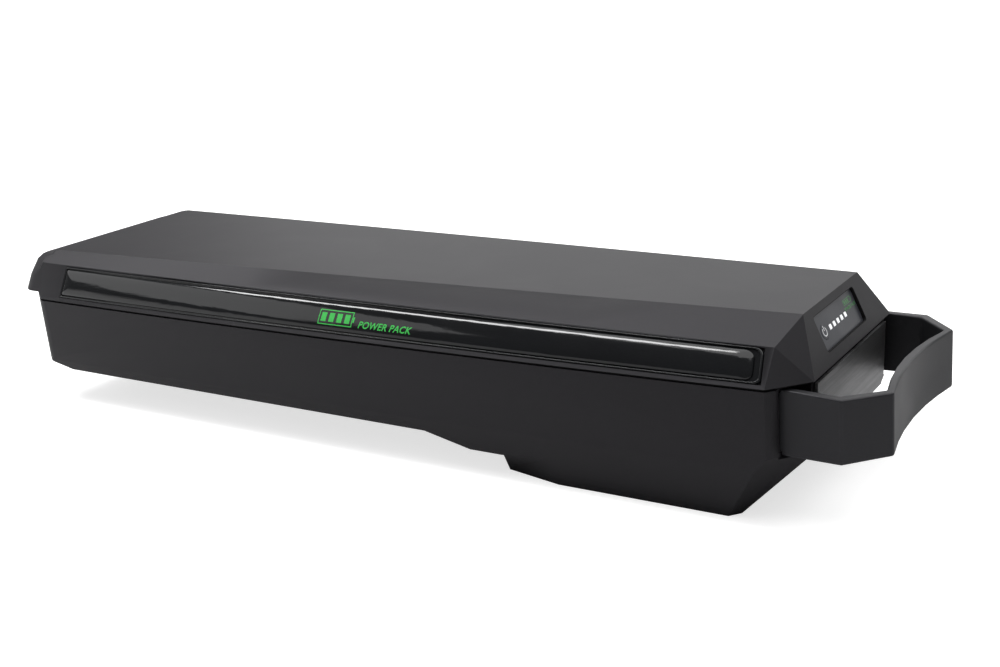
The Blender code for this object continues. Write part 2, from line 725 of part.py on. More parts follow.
board = display_solid("display_board", rounded(-21 * MM, 18 * MM, 5.4 * MM, 15.0 * MM,
                                               0.8 * MM, 2), -7.4 * MM, -6.2 * MM)
finish(board, "display_board", material("circuit_board", (0.02, 0.13, 0.06), 0.45))
switch = display_solid("button_switch", [
    (BUTTON_Y - 0.3 * MM + s * 1.9 * MM, DISPLAY_MID + t * 1.9 * MM)
    for s, t in ((-1, -1), (1, -1), (1, 1), (-1, 1))], -5.9 * MM, -5.0 * MM)
finish(switch, "button_switch", material("switch_body", (0.02, 0.02, 0.02), 0.5))

# ----------------------------------------------------------- discharge socket
socket = box("discharge_socket", (CASE_FRONT_X + 1.0 * MM, -26 * MM, SOCKET_Z - 9 * MM),
             (CASE_FRONT_X + 24 * MM, 26 * MM, SOCKET_Z + 9 * MM))
bevel(socket, 0.8 * MM, 1, 40)
BLADE_Y = (-18.0 * MM, -5.0 * MM, 5.0 * MM, 18.0 * MM)
BLADE_HALF = (1.4 * MM, 0.7 * MM, 0.7 * MM, 1.4 * MM)
for y, half in zip(BLADE_Y, BLADE_HALF):
    wide = half + 2.2 * MM
    combine(socket, box("blade well", (CASE_FRONT_X - 2 * MM, y - wide, SOCKET_Z - 6 * MM),
                        (CASE_FRONT_X + 14 * MM, y + wide, SOCKET_Z + 6 * MM)))
    combine(socket, box("blade way", (CASE_FRONT_X + 10 * MM, y - half - GAP,
                                      SOCKET_Z - 4.3 * MM),
                        (CASE_FRONT_X + 30 * MM, y + half + GAP, SOCKET_Z + 4.3 * MM)))
finish(socket, "discharge_socket", material("socket_plastic", (0.015, 0.015, 0.016), 0.5))
for number, (y, half) in enumerate(zip(BLADE_Y, BLADE_HALF), 1):
    blade = box("discharge_blade_%d" % number,
                (CASE_FRONT_X + 3.5 * MM, y - half, SOCKET_Z - 4 * MM),
                (CASE_FRONT_X + 29 * MM, y + half, SOCKET_Z + 4 * MM))
    bevel(blade, 0.4 * MM, 1, 40)
    finish(blade, "discharge_blade_%d" % number,
           material("contact_brass", (0.62, 0.47, 0.2), 0.28, 1.0))

# ---------------------------------------------------------------- cell banks
cell_wrap = material("cell_wrap", (0.03, 0.16, 0.3), 0.4)


def cell_bank(name, mid_x, mid_z):
    # five cells in parallel, joined by a nickel plate across each end
    half = CELL_LENGTH / 2
    bank = None
    for i in range(5):
        y = (i - 2) * CELL_PITCH
        cell = rod("cell", CELL_RADIUS, (mid_x - half, y, mid_z), (mid_x + half, y, mid_z), 16)
        bank = cell if bank is None else combine(bank, cell, "UNION")
    for end in (-1, 1):
        x0, x1 = sorted((mid_x + end * (half - 0.4 * MM), mid_x + end * (half + 0.3 * MM)))
        strip = box("nickel", (x0, -42.0 * MM, mid_z - 4 * MM), (x1, 42.0 * MM, mid_z + 4 * MM))
        combine(bank, strip, "UNION")
    return finish(bank, name, cell_wrap)


number = 1
for mid_z in LAYER_Z:
    for i in range(BANKS_ALONG):
        mid_x = BANK_MID_X + (i - (BANKS_ALONG - 1) / 2) * BANK_PITCH
        cell_bank("cell_bank_%02d" % number, mid_x, mid_z)
        number += 1

BANKS_HALF = BANK_PITCH * BANKS_ALONG / 2 + 0.6 * MM
tray_mat = material("tray_plastic", (0.12, 0.13, 0.14), 0.6)


def tray(name, low_z, high_z, floor_low):
    x0 = BANK_MID_X - BANKS_HALF
    x1 = BANK_MID_X + BANKS_HALF
    body = box(name, (x0 - 1.4 * MM, -47.7 * MM, low_z), (x1 + 1.4 * MM, 47.7 * MM, high_z))
    if floor_low:
        inside = (low_z + 1.1 * MM, high_z + 5 * MM)
    else:
        inside = (low_z - 5 * MM, high_z - 1.1 * MM)
    combine(body, box("tray inside", (x0, -46.9 * MM, inside[0]), (x1, 46.9 * MM, inside[1])))
    for i in range(BANKS_ALONG):
        x = BANK_MID_X + (i - (BANKS_ALONG - 1) / 2) * BANK_PITCH
        combine(body, box("tray window", (x - 24 * MM, -36 * MM, low_z - 8 * MM),
                          (x + 24 * MM, 36 * MM, high_z + 8 * MM)))
    return finish(body, name, tray_mat)


tray("cell_tray_lower", 19.8 * MM, 30.0 * MM, True)
tray("cell_tray_upper", 49.5 * MM, 59.9 * MM, False)

foam = material("foam", (0.05, 0.05, 0.055), 0.95)
front_pad = box("foam_pad_front", (-170.5 * MM, -40 * MM, 24 * MM), (-162.3 * MM, 40 * MM, 56 * MM))
finish(front_pad, "foam_pad_front", foam)
rear_pad = box("foam_pad_rear", (178.2 * MM, -28 * MM, 26 * MM), (186.5 * MM, 28 * MM, 54 * MM))
finish(rear_pad, "foam_pad_rear", foam)

# -------------------------------------------------------- battery management
bms = box("bms_board", (97 * MM, -41 * MM, 6.6 * MM), (172 * MM, 41 * MM, 8.2 * MM))
finish(bms, "bms_board", material("circuit_board", (0.02, 0.13, 0.06), 0.45))
sink = box("bms_heat_sink", (101 * MM, -34 * MM, 8.5 * MM), (129 * MM, 34 * MM, 10.5 * MM))
for i in range(6):
    x = (102.5 + 4.8 * i) * MM
    combine(sink, box("fin", (x, -34 * MM, 9.5 * MM), (x + 1.2 * MM, 34 * MM, 17.5 * MM)),
            "UNION")
finish(sink, "bms_heat_sink", material("heat_sink_metal", (0.6, 0.61, 0.62), 0.4, 1.0))
for number in range(4):
    y = (-27 + 18 * number) * MM
    chip = box("power_transistor_%d" % (number + 1), (134 * MM, y - 5 * MM, 8.5 * MM),
               (144 * MM, y + 5 * MM, 12.8 * MM))
    finish(chip, "power_transistor_%d" % (number + 1),
           material("chip_epoxy", (0.015, 0.015, 0.015), 0.55))
header = box("sense_header", (154 * MM, -22 * MM, 8.5 * MM), (161 * MM, 22 * MM, 16 * MM))
finish(header, "sense_header", material("header_nylon", (0.75, 0.73, 0.66), 0.5))
fuse = rod("main_fuse", 4.0 * MM, (-186 * MM, -14 * MM, 38 * MM), (-186 * MM, 14 * MM, 38 * MM), 16)
finish(fuse, "main_fuse", material("fuse_ceramic", (0.8, 0.78, 0.72), 0.45))
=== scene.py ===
import math
import bpy
import bmesh
from mathutils import Matrix, Vector


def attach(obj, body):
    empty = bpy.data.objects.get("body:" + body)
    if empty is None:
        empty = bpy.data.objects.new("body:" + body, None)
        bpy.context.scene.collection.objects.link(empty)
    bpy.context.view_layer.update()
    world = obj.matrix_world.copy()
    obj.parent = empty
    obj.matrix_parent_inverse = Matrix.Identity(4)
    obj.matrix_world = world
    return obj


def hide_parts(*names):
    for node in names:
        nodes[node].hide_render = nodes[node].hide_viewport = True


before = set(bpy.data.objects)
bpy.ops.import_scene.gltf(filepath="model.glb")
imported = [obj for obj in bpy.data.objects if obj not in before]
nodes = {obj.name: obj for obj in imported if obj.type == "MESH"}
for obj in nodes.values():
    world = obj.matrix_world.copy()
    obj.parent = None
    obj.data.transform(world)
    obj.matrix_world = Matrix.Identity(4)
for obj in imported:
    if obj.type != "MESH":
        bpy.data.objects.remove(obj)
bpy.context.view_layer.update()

mm = 0.001
studio = bpy.context.scene
print("frame loaded,", len(nodes), "nodes")


# small helpers for node trees
def addNode(tree, kind, inputs=None, **settings):
    node = tree.nodes.new(kind)
    for key, value in settings.items():
        setattr(node, key, value)
    for key, value in (inputs or {}).items():
        if isinstance(value, bpy.types.NodeSocket):
            tree.links.new(value, node.inputs[key])
        else:
            node.inputs[key].default_value = value
    return node


def mathNode(tree, operation, a, b=0.0, clamp=False):
    node = addNode(tree, "ShaderNodeMath", {0: a, 1: b}, operation=operation)
    node.use_clamp = clamp
    return node.outputs[0]


def spread(tree, value, low, high, newLow=0.0, newHigh=1.0):
    node = addNode(tree, "ShaderNodeMapRange", {
        "Value": value, "From Min": low, "From Max": high,
        "To Min": newLow, "To Max": newHigh})
    return node.outputs["Result"]


def blendColour(tree, factor, first, second):
    node = tree.nodes.new("ShaderNodeMix")
    node.data_type = "RGBA"
    for index, value in ((0, factor), (6, first), (7, second)):
        if isinstance(value, bpy.types.NodeSocket):
            tree.links.new(value, node.inputs[index])
        elif index == 0:
            node.inputs[0].default_value = value
        else:
            node.inputs[index].default_value = (*value[:3], 1.0)
    return node.outputs[2]


def stretched(tree, vector, scale, turn=(0.0, 0.0, 0.0)):
    node = addNode(tree, "ShaderNodeMapping", {
        "Vector": vector, "Scale": scale, "Rotation": turn})
    return node.outputs["Vector"]


def newGroup(name, inputs, outputs):
    tree = bpy.data.node_groups.new(name, "ShaderNodeTree")
    for label, value in inputs:
        kind = "NodeSocketVector" if value is None else "NodeSocketFloat"
        socket = tree.interface.new_socket(name=label, in_out="INPUT", socket_type=kind)
        if value is not None:
            socket.default_value = value
    for label in outputs:
        tree.interface.new_socket(name=label, in_out="OUTPUT", socket_type="NodeSocketFloat")
    start = tree.nodes.new("NodeGroupInput")
    end = tree.nodes.new("NodeGroupOutput")
    return tree, start.outputs, end.inputs


def useGroup(tree, group, inputs):
    node = tree.nodes.new("ShaderNodeGroup")
    node.node_tree = group
    for key, value in inputs.items():
        if isinstance(value, bpy.types.NodeSocket):
            tree.links.new(value, node.inputs[key])
        else:
            node.inputs[key].default_value = value
    return node.outputs


# shared effects
def makeMouldGrain():
    # spark-eroded mould texture: fine pits with a softer roll under them
    tree, start, end = newGroup("mouldGrain", [("Vector", None), ("Pitch", 0.45)],
                                ["Height", "Tone"])
    scale = mathNode(tree, "DIVIDE", 1000.0, start["Pitch"])
    pits = addNode(tree, "ShaderNodeTexVoronoi", {
        "Vector": start["Vector"], "Scale": scale, "Randomness": 0.9}, feature="SMOOTH_F1")
    roll = addNode(tree, "ShaderNodeTexNoise", {
        "Vector": start["Vector"], "Scale": mathNode(tree, "MULTIPLY", scale, 0.45),
        "Detail": 3.0, "Roughness": 0.6})
    both = mathNode(tree, "ADD", mathNode(tree, "MULTIPLY", pits.outputs["Distance"], 0.55),
                    mathNode(tree, "MULTIPLY", roll.outputs["Fac"], 0.6))
    tree.links.new(both, end["Height"])
    tree.links.new(spread(tree, roll.outputs["Fac"], 0.3, 0.7), end["Tone"])
    return tree


def makeFlowTone():
    # broad, faint patches where the moulding cooled unevenly
    tree, start, end = newGroup("flowTone", [("Vector", None), ("Size", 0.06)], ["Tone"])
    wide = addNode(tree, "ShaderNodeTexNoise", {
        "Vector": stretched(tree, start["Vector"], (0.45, 1.0, 1.3)),
        "Scale": mathNode(tree, "DIVIDE", 1.0, start["Size"]),
        "Detail": 2.0, "Roughness": 0.45, "Distortion": 0.4})
    tree.links.new(spread(tree, wide.outputs["Fac"], 0.32, 0.68), end["Tone"])
    return tree


def makeEdgeWearAndSheen():
    # edges painted paler, partly as rubbed wear and partly as a painted highlight: the edge
    # mask broken up so that it fades in and out
    tree, start, end = newGroup("edgeWearAndSheen", [("Vector", None), ("Edge", 0.0),
                                             ("Amount", 0.6)], ["Mask"])
    broken = addNode(tree, "ShaderNodeTexNoise", {
        "Vector": start["Vector"], "Scale": 55.0, "Detail": 5.0, "Roughness": 0.65})
    patch = spread(tree, broken.outputs["Fac"], 0.38, 0.62)
    wornAndSheen = mathNode(tree, "MULTIPLY", start["Edge"], patch)
    tree.links.new(mathNode(tree, "MULTIPLY", wornAndSheen, start["Amount"], True), end["Mask"])
    return tree


def makeHandling():
    # hair scratches in two directions and soft smudges
    tree, start, end = newGroup("handlingMarks", [("Vector", None), ("Density", 0.5)],
                                ["Scratches", "Smudges"])
    total = None
    for turn, seed in ((0.35, 0.0), (-0.6, 4.7)):
        moved = stretched(tree, start["Vector"], (12.0, 900.0, 900.0), (0.0, 0.2, turn))
        lines = addNode(tree, "ShaderNodeTexNoise", {
            "Vector": moved, "Scale": 1.0, "Detail": 2.0, "W": seed}, noise_dimensions="4D")
        hair = spread(tree, lines.outputs["Fac"], 0.66, 0.72)
        total = hair if total is None else mathNode(tree, "MAXIMUM", total, hair)
    where = addNode(tree, "ShaderNodeTexNoise", {
        "Vector": start["Vector"], "Scale": 26.0, "Detail": 3.0})
    gate = spread(tree, where.outputs["Fac"], 0.5, 0.7)
    kept = mathNode(tree, "MULTIPLY", mathNode(tree, "MULTIPLY", total, gate),
                    start["Density"], True)
    tree.links.new(kept, end["Scratches"])
    palm = addNode(tree, "ShaderNodeTexNoise", {
        "Vector": stretched(tree, start["Vector"], (0.7, 1.0, 1.0), (0.0, 0.0, 0.5)),
        "Scale": 38.0, "Detail": 4.0, "Roughness": 0.55, "Distortion": 0.8})
    tree.links.new(spread(tree, palm.outputs["Fac"], 0.42, 0.7), end["Smudges"])
    return tree


def makeDustFilm():
    # dust settles on faces that look up and clings in specks
    tree, start, end = newGroup("dustFilm", [("Vector", None), ("Amount", 0.3)], ["Mask"])
    facing = addNode(tree, "ShaderNodeNewGeometry").outputs["Normal"]
    upward = addNode(tree, "ShaderNodeSeparateXYZ", {0: facing}).outputs["Z"]
    lying = spread(tree, upward, 0.35, 1.0)
    haze = addNode(tree, "ShaderNodeTexNoise", {
        "Vector": start["Vector"], "Scale": 30.0, "Detail": 6.0, "Roughness": 0.7})
    specks = addNode(tree, "ShaderNodeTexVoronoi", {
        "Vector": start["Vector"], "Scale": 420.0, "Randomness": 1.0})
    dots = spread(tree, specks.outputs["Distance"], 0.13, 0.05)
    film = mathNode(tree, "ADD", spread(tree, haze.outputs["Fac"], 0.35, 0.75, 0.0, 0.5),
                    mathNode(tree, "MULTIPLY", dots, 0.6))
    tree.links.new(mathNode(tree, "MULTIPLY", mathNode(tree, "MULTIPLY", film, lying),
                            start["Amount"], True), end["Mask"])
    return tree


def makeBrushLines():
    # long fine lines from a belt or a drawing die
    tree, start, end = newGroup("brushLines", [("Vector", None), ("Across", 2600.0)],
                                ["Height", "Tone"])
    fine = addNode(tree, "ShaderNodeTexNoise", {
        "Vector": start["Vector"], "Scale": start["Across"], "Detail": 3.0,
        "Roughness": 0.7})
    coarse = addNode(tree, "ShaderNodeTexNoise", {
        "Vector": start["Vector"], "Scale": mathNode(tree, "MULTIPLY", start["Across"], 0.2),
        "Detail": 2.0})
    mixed = mathNode(tree, "ADD", mathNode(tree, "MULTIPLY", fine.outputs["Fac"], 0.6),
                     mathNode(tree, "MULTIPLY", coarse.outputs["Fac"], 0.4))
    tree.links.new(mixed, end["Height"])
    tree.links.new(spread(tree, mixed, 0.35, 0.65), end["Tone"])
    return tree


mouldGrain = makeMouldGrain()
flowTone = makeFlowTone()
edgeWearAndSheen = makeEdgeWearAndSheen()
handling = makeHandling()
dustFilm = makeDustFilm()
brushLines = makeBrushLines()
print("shared effects built")


# finishes
dustColour = (0.3, 0.29, 0.28)


def startMaterial(name):
    mat = bpy.data.materials.new(name)
    mat.use_nodes = True
    tree = mat.node_tree
    place = addNode(tree, "ShaderNodeTexCoord").outputs["Object"]
    return mat, tree, tree.nodes["Principled BSDF"], place


def readEdgeMask(tree):
    return addNode(tree, "ShaderNodeAttribute", attribute_name="edgeMask").outputs["Fac"]


def scaled(colour, by):
    return [min(1.0, c * by) for c in colour]


def bumpInto(tree, bsdf, height, strength, distance):
    bump = addNode(tree, "ShaderNodeBump", {
        "Height": height, "Strength": strength, "Distance": distance})
    tree.links.new(bump.outputs["Normal"], bsdf.inputs["Normal"])


def mouldedPlastic(name, colour, rough=0.45, pitch=0.45, depth=0.02, specular=0.4,
                   wornAndSheen=0.5, dust=0.12, marks=0.25, lift=1.7, roughSpan=0.1):
    mat, tree, bsdf, place = startMaterial(name)
    grain = useGroup(tree, mouldGrain, {"Vector": place, "Pitch": pitch})
    flow = useGroup(tree, flowTone, {"Vector": place})["Tone"]
    wearAndSheen = useGroup(tree, edgeWearAndSheen, {
        "Vector": place, "Edge": readEdgeMask(tree), "Amount": wornAndSheen})["Mask"]
    touched = useGroup(tree, handling, {"Vector": place, "Density": marks})
    film = useGroup(tree, dustFilm, {"Vector": place, "Amount": dust})["Mask"]
    pale = [min(1.0, c * lift + 0.006) for c in colour]
    tone = blendColour(tree, flow, scaled(colour, 0.86), scaled(colour, 1.1))
    tone = blendColour(tree, mathNode(tree, "MULTIPLY", grain["Tone"], 0.16), tone,
                       scaled(colour, 1.5))
    # painted highlight and wear: the rounded edges are blended towards the paler colour
    tone = blendColour(tree, wearAndSheen, tone, pale)
    tone = blendColour(tree, mathNode(tree, "MULTIPLY", touched["Scratches"], 0.35),
                       tone, pale)
    tone = blendColour(tree, film, tone, dustColour)
    tree.links.new(tone, bsdf.inputs["Base Color"])
    roughness = mathNode(tree, "ADD", spread(tree, flow, 0.0, 1.0, rough - roughSpan / 2,
                                             rough + roughSpan / 2),
                         mathNode(tree, "MULTIPLY", film, 0.25))
    rubbed = mathNode(tree, "MULTIPLY", wearAndSheen, 0.14)
    palmed = mathNode(tree, "MULTIPLY", touched["Smudges"], 0.015)
    roughness = mathNode(tree, "SUBTRACT", roughness, rubbed)
    roughness = mathNode(tree, "SUBTRACT", roughness, palmed, True)
    tree.links.new(roughness, bsdf.inputs["Roughness"])
    bsdf.inputs["Specular IOR Level"].default_value = specular
    bsdf.inputs["Specular Tint"].default_value = (0.96, 0.94, 1.0, 1.0)
    bumpInto(tree, bsdf, grain["Height"], 0.6, depth * mm)
    return mat


def polishedPlastic(name, colour, rough=0.07, specular=0.35, waves=0.14):
    # high gloss moulding: slow sink marks, hairlines and a few specks
    mat, tree, bsdf, place = startMaterial(name)
    touched = useGroup(tree, handling, {"Vector": place, "Density": 0.5})
    flow = useGroup(tree, flowTone, {"Vector": place, "Size": 0.03})["Tone"]
    film = useGroup(tree, dustFilm, {"Vector": place, "Amount": 0.05})["Mask"]
    tone = blendColour(tree, flow, scaled(colour, 0.8), scaled(colour, 1.25))
    tone = blendColour(tree, mathNode(tree, "MULTIPLY", touched["Scratches"], 0.2), tone,
                       (0.08, 0.085, 0.095))
    tone = blendColour(tree, film, tone, dustColour)
    tree.links.new(tone, bsdf.inputs["Base Color"])
    dull = mathNode(tree, "ADD", mathNode(tree, "MULTIPLY", touched["Smudges"], 0.05),
                    mathNode(tree, "MULTIPLY", touched["Scratches"], 0.1))
    tree.links.new(mathNode(tree, "ADD", dull, rough), bsdf.inputs["Roughness"])
    bsdf.inputs["Specular IOR Level"].default_value = specular
    sink = addNode(tree, "ShaderNodeTexNoise", {
        "Vector": stretched(tree, place, (22.0, 130.0, 130.0)), "Scale": 1.0,
        "Detail": 3.0, "Roughness": 0.6, "Distortion": 0.6})
    bumpInto(tree, bsdf, sink.outputs["Fac"], 1.0, waves * mm)
    return mat


def brushedMetal(name, colour, rough, grainScale, across=2600.0, depth=0.004,
                 edgeColour=None, tint=0.3):
    mat, tree, bsdf, place = startMaterial(name)
    lines = useGroup(tree, brushLines, {
        "Vector": stretched(tree, place, grainScale), "Across": across})
    wearAndSheen = useGroup(tree, edgeWearAndSheen, {
        "Vector": place, "Edge": readEdgeMask(tree), "Amount": 0.9})["Mask"]
    flow = useGroup(tree, flowTone, {"Vector": place, "Size": 0.02})["Tone"]
    tone = blendColour(tree, mathNode(tree, "MULTIPLY", lines["Tone"], tint), colour,
                       scaled(colour, 0.62))
    tone = blendColour(tree, mathNode(tree, "MULTIPLY", flow, 0.25), tone,
                       scaled(colour, 1.12))
    # painted highlight and wear: the edges are blended towards the edge colour
    tone = blendColour(tree, wearAndSheen, tone, edgeColour or scaled(colour, 1.5))
    tree.links.new(tone, bsdf.inputs["Base Color"])
    tree.links.new(spread(tree, lines["Tone"], 0.0, 1.0, rough - 0.06, rough + 0.1),
                   bsdf.inputs["Roughness"])
    bsdf.inputs["Metallic"].default_value = 1.0
    bumpInto(tree, bsdf, lines["Height"], 0.7, depth * mm)
    return mat


# painted shade: the case gets a darker colour than the cover so that its sides read darker
shadedCasePlastic = mouldedPlastic("case plastic with painted shade", (0.0125, 0.0118, 0.0134), 0.5, specular=0.24,
                             dust=0.05, roughSpan=0.05)
coverPlastic = mouldedPlastic("cover plastic", (0.016, 0.0155, 0.0172), 0.5, specular=0.3,
                              dust=0.015, marks=0.12, roughSpan=0.012)
handlePlastic = mouldedPlastic("handle plastic", (0.012, 0.0122, 0.0136), 0.45, 0.5,
                               specular=0.32, wornAndSheen=0.3, marks=0.4, dust=0.04)
socketPlastic = mouldedPlastic("socket plastic", (0.014, 0.014, 0.015), 0.5, 0.35)
trayPlastic = mouldedPlastic("tray plastic", (0.03, 0.032, 0.035), 0.6, 0.6, dust=0.05)
rubberForGasketAndShade = mouldedPlastic("gasket rubber and painted shade", (0.009, 0.009, 0.009), 0.82, 0.25, 0.03,
                              specular=0.2, wornAndSheen=0.1)
switchBody = mouldedPlastic("switch body", (0.02, 0.02, 0.021), 0.5, 0.3, dust=0.02)
headerNylon = mouldedPlastic("header nylon", (0.7, 0.67, 0.58), 0.5, 0.5, lift=1.2,
                             dust=0.05)
chipEpoxy = mouldedPlastic("chip epoxy", (0.018, 0.018, 0.019), 0.55, 0.2, 0.01)
padFoam = mouldedPlastic("pad foam", (0.045, 0.045, 0.05), 0.95, 0.9, 0.3, specular=0.15,
                         wornAndSheen=0.2, dust=0.2)
fuseCeramic = mouldedPlastic("fuse ceramic", (0.62, 0.6, 0.55), 0.35, 0.8, 0.006,
                             lift=1.2, dust=0.04)
stripGloss = polishedPlastic("strip gloss", (0.004, 0.0045, 0.0055), 0.08, 0.4)
stripRim = polishedPlastic("strip rim", (0.005, 0.0055, 0.0065), 0.11, 0.36, 0.03)
plateMetal = brushedMetal("plate metal", (0.2, 0.2, 0.205), 0.42, (1.0, 0.02, 1.0),
                          4200.0, 0.0015, (0.7, 0.7, 0.72), tint=0.1)
screwSteel = brushedMetal("screw steel", (0.5, 0.5, 0.51), 0.3, (1.0, 1.0, 0.2), 3200.0)
bladeBrass = brushedMetal("blade brass", (0.62, 0.46, 0.2), 0.25, (0.03, 1.0, 1.0))
sinkMetal = brushedMetal("heat sink metal", (0.58, 0.59, 0.6), 0.36, (1.0, 0.02, 1.0))


def makeLabelFilm():
    # printed polycarbonate film: velvet hard coat over a dark blue-grey ink
    mat, tree, bsdf, place = startMaterial("label film")
    weave = useGroup(tree, mouldGrain, {"Vector": place, "Pitch": 0.18})
    touched = useGroup(tree, handling, {"Vector": place, "Density": 0.4})
    flow = useGroup(tree, flowTone, {"Vector": place, "Size": 0.02})["Tone"]
    tone = blendColour(tree, flow, (0.041, 0.043, 0.051), (0.05, 0.052, 0.061))
    tone = blendColour(tree, mathNode(tree, "MULTIPLY", weave["Tone"], 0.2), tone,
                       (0.072, 0.076, 0.09))
    tone = blendColour(tree, mathNode(tree, "MULTIPLY", touched["Scratches"], 0.3), tone,
                       (0.16, 0.17, 0.19))
    tree.links.new(tone, bsdf.inputs["Base Color"])
    tree.links.new(spread(tree, touched["Smudges"], 0.0, 1.0, 0.4, 0.3),
                   bsdf.inputs["Roughness"])
    bsdf.inputs["Specular IOR Level"].default_value = 0.4
    bumpInto(tree, bsdf, weave["Height"], 0.5, 0.006 * mm)
    return mat


def makePrintInk(name, colour, glow=0.0):
    # screen print: slightly grainy ink with uneven density
    mat, tree, bsdf, place = startMaterial(name)
    dots = useGroup(tree, mouldGrain, {"Vector": place, "Pitch": 0.12})
    flow = useGroup(tree, flowTone, {"Vector": place, "Size": 0.01})["Tone"]
    tone = blendColour(tree, mathNode(tree, "MULTIPLY", dots["Tone"], 0.3), colour,
                       scaled(colour, 0.75))
    tone = blendColour(tree, mathNode(tree, "MULTIPLY", flow, 0.3), tone,
                       scaled(colour, 1.15))
    tree.links.new(tone, bsdf.inputs["Base Color"])
    tree.links.new(spread(tree, dots["Tone"], 0.0, 1.0, 0.35, 0.5),
                   bsdf.inputs["Roughness"])
    # painted glow: the ink gives off a little light of its own so that it reads brighter
    if glow:
        tree.links.new(tone, bsdf.inputs["Emission Color"])
        bsdf.inputs["Emission Strength"].default_value = glow
    bumpInto(tree, bsdf, dots["Height"], 0.4, 0.003 * mm)
    return mat


def makeWindowWhite():
    # diffusing window over a lamp, with a painted glow and painted shade at its rim
    mat, tree, bsdf, place = startMaterial("window white")
    grain = useGroup(tree, mouldGrain, {"Vector": place, "Pitch": 0.3})
    tone = blendColour(tree, mathNode(tree, "MULTIPLY", grain["Tone"], 0.2),
                       (0.9, 0.91, 0.92), (0.8, 0.82, 0.84))
    # painted shade: the chamfered rim is made darker
    tone = blendColour(tree, mathNode(tree, "MULTIPLY", readEdgeMask(tree), 0.5), tone,
                       (0.68, 0.7, 0.73))
    tree.links.new(tone, bsdf.inputs["Base Color"])
    # painted glow: the pane gives off light of its own
    tree.links.new(tone, bsdf.inputs["Emission Color"])
    bsdf.inputs["Emission Strength"].default_value = 0.45
    tree.links.new(spread(tree, grain["Tone"], 0.0, 1.0, 0.28, 0.4),
                   bsdf.inputs["Roughness"])
    bumpInto(tree, bsdf, grain["Height"], 0.3, 0.004 * mm)
    return mat


def makeCellWrap():
    # shrink wrap on round cells: faint wrinkles, and bare metal at both ends
    mat, tree, bsdf, place = startMaterial("cell wrap")
    touched = useGroup(tree, handling, {"Vector": place, "Density": 0.6})
    wrinkle = addNode(tree, "ShaderNodeTexNoise", {
        "Vector": stretched(tree, place, (40.0, 300.0, 300.0)), "Scale": 1.0,
        "Detail": 4.0, "Distortion": 0.6})
    facing = addNode(tree, "ShaderNodeNewGeometry").outputs["Normal"]
    lengthwise = addNode(tree, "ShaderNodeSeparateXYZ", {0: facing}).outputs["X"]
    endFace = spread(tree, mathNode(tree, "ABSOLUTE", lengthwise), 0.7, 0.85)
    tone = blendColour(tree, wrinkle.outputs["Fac"], (0.02, 0.13, 0.26), (0.03, 0.19, 0.34))
    tone = blendColour(tree, mathNode(tree, "MULTIPLY", touched["Scratches"], 0.3), tone,
                       (0.4, 0.5, 0.6))
    tone = blendColour(tree, endFace, tone, (0.56, 0.54, 0.5))
    tree.links.new(tone, bsdf.inputs["Base Color"])
    tree.links.new(mathNode(tree, "MULTIPLY", endFace, 0.9), bsdf.inputs["Metallic"])
    tree.links.new(spread(tree, wrinkle.outputs["Fac"], 0.3, 0.7, 0.28, 0.42),
                   bsdf.inputs["Roughness"])
    bumpInto(tree, bsdf, wrinkle.outputs["Fac"], 0.5, 0.05 * mm)
    return mat


def makeCircuitBoard():
    # solder mask over copper traces, with plated holes
    mat, tree, bsdf, place = startMaterial("circuit board")
    lanes = addNode(tree, "ShaderNodeTexVoronoi", {
        "Vector": place, "Scale": 420.0, "Randomness": 0.35},
        feature="F1", distance="CHEBYCHEV")
    trace = spread(tree, lanes.outputs["Distance"], 0.36, 0.4)
    holes = addNode(tree, "ShaderNodeTexVoronoi", {
        "Vector": place, "Scale": 300.0, "Randomness": 0.85})
    pad = spread(tree, holes.outputs["Distance"], 0.15, 0.12)
    hole = spread(tree, holes.outputs["Distance"], 0.075, 0.06)
    weave = addNode(tree, "ShaderNodeTexNoise", {"Vector": place, "Scale": 900.0})
    tone = blendColour(tree, trace, (0.012, 0.1, 0.045), (0.02, 0.16, 0.07))
    tone = blendColour(tree, mathNode(tree, "MULTIPLY", weave.outputs["Fac"], 0.25), tone,
                       (0.03, 0.2, 0.1))
    tone = blendColour(tree, pad, tone, (0.75, 0.6, 0.3))
    tone = blendColour(tree, hole, tone, (0.01, 0.01, 0.01))
    tree.links.new(tone, bsdf.inputs["Base Color"])
    tree.links.new(mathNode(tree, "MULTIPLY", pad, 0.8), bsdf.inputs["Metallic"])
    tree.links.new(spread(tree, weave.outputs["Fac"], 0.3, 0.7, 0.28, 0.42),
                   bsdf.inputs["Roughness"])
    relief = mathNode(tree, "ADD", mathNode(tree, "MULTIPLY", trace, 0.5), pad)
    bumpInto(tree, bsdf, relief, 0.6, 0.04 * mm)
    return mat


labelFilm = makeLabelFilm()
# the white and green inks carry a painted glow
whiteInk = makePrintInk("white ink", (0.82, 0.83, 0.85), 0.12)
greenInk = makePrintInk("green ink", (0.03, 0.42, 0.06), 0.1)
dimGreenInk = makePrintInk("dim green ink", (0.06, 0.26, 0.07))
windowWhite = makeWindowWhite()
cellWrap = makeCellWrap()
circuitBoard = makeCircuitBoard()
print("finishes built")


# helpers for pieces
def toObject(name, work, mat, body="pack", replaced=(), angle=32.0, weighted=True):
    mesh = bpy.data.meshes.new(name)
    work.to_mesh(mesh)
    work.free()
    mesh.materials.append(mat)
    mesh.shade_smooth()
    mesh.set_sharp_from_angle(angle=math.radians(angle))
    piece = bpy.data.objects.new(name, mesh)
    studio.collection.objects.link(piece)
    if weighted:
        even = piece.modifiers.new("even normals", "WEIGHTED_NORMAL")
        even.keep_sharp = True
        even.weight = 60
    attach(piece, body)
    if replaced:
        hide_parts(*replaced)


